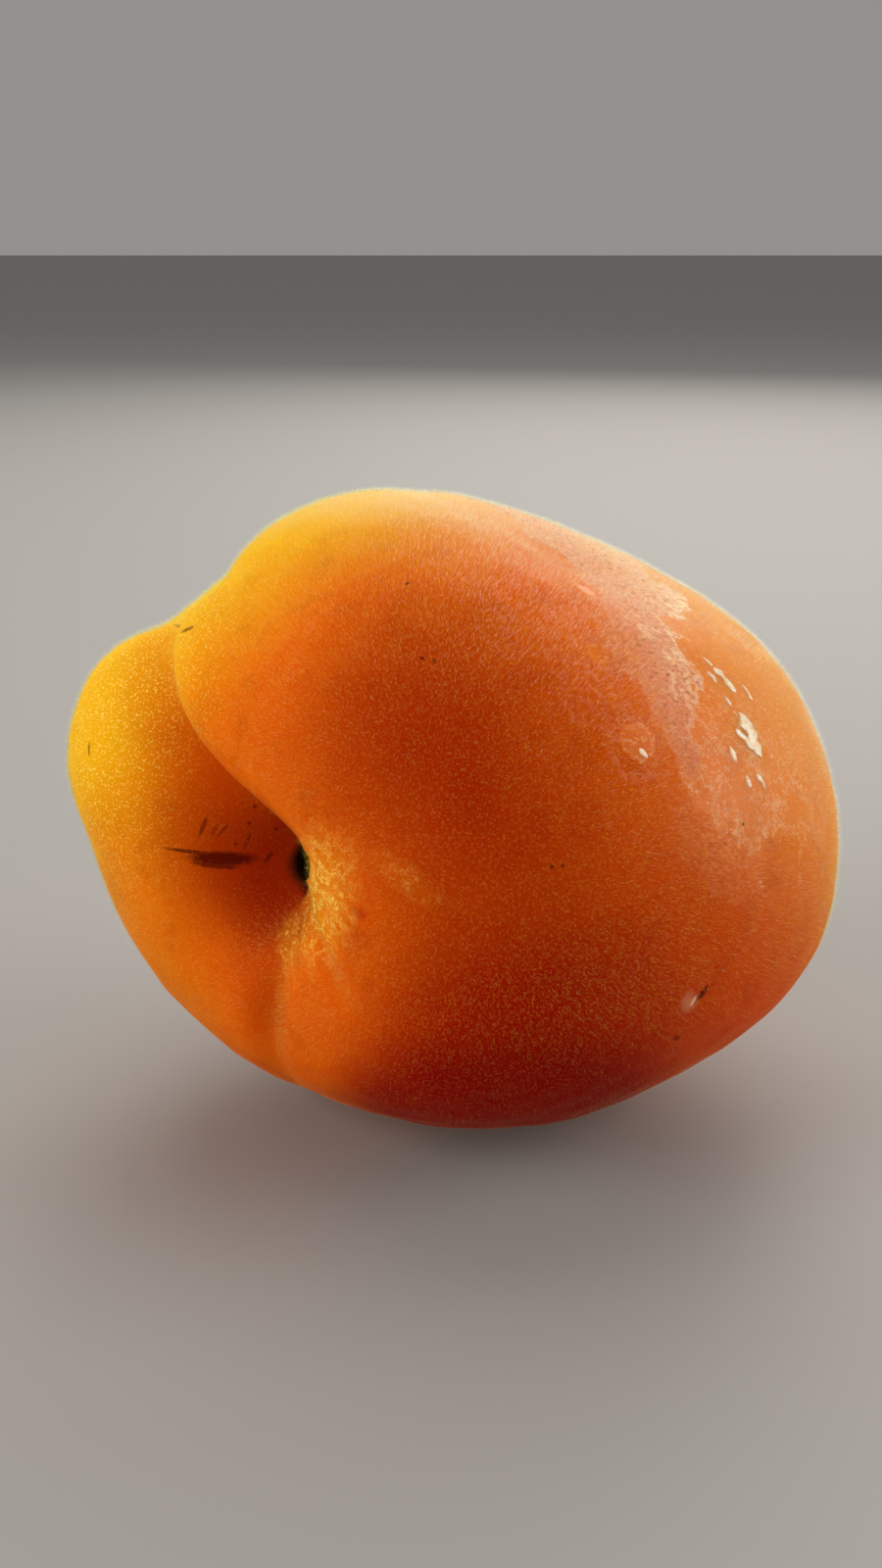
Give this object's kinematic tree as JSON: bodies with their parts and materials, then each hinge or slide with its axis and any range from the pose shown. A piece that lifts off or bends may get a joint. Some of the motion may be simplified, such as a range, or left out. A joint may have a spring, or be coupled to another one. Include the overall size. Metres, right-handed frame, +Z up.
{
  "type": "apricot",
  "caption": "Whole ripe apricot lying on its side, with a deep suture between a large cheek and a small lobe, an open stem pit and a small flat spot to rest on.",
  "frame": {"origin": "middle of the bounding box in plan, at the height of the flat spot that the fruit rests on", "axes": "+Z up, +X along the fruit's longest side, towards the large cheek and away from the small lobe; the stem pit faces -Y and -X"},
  "size_m": [0.0547, 0.0485, 0.0444],
  "materials": {
    "ripe_skin": "matte"
  },
  "bodies": {
    "root": {"apricot": "ripe_skin"}
  },
  "joints": []
}
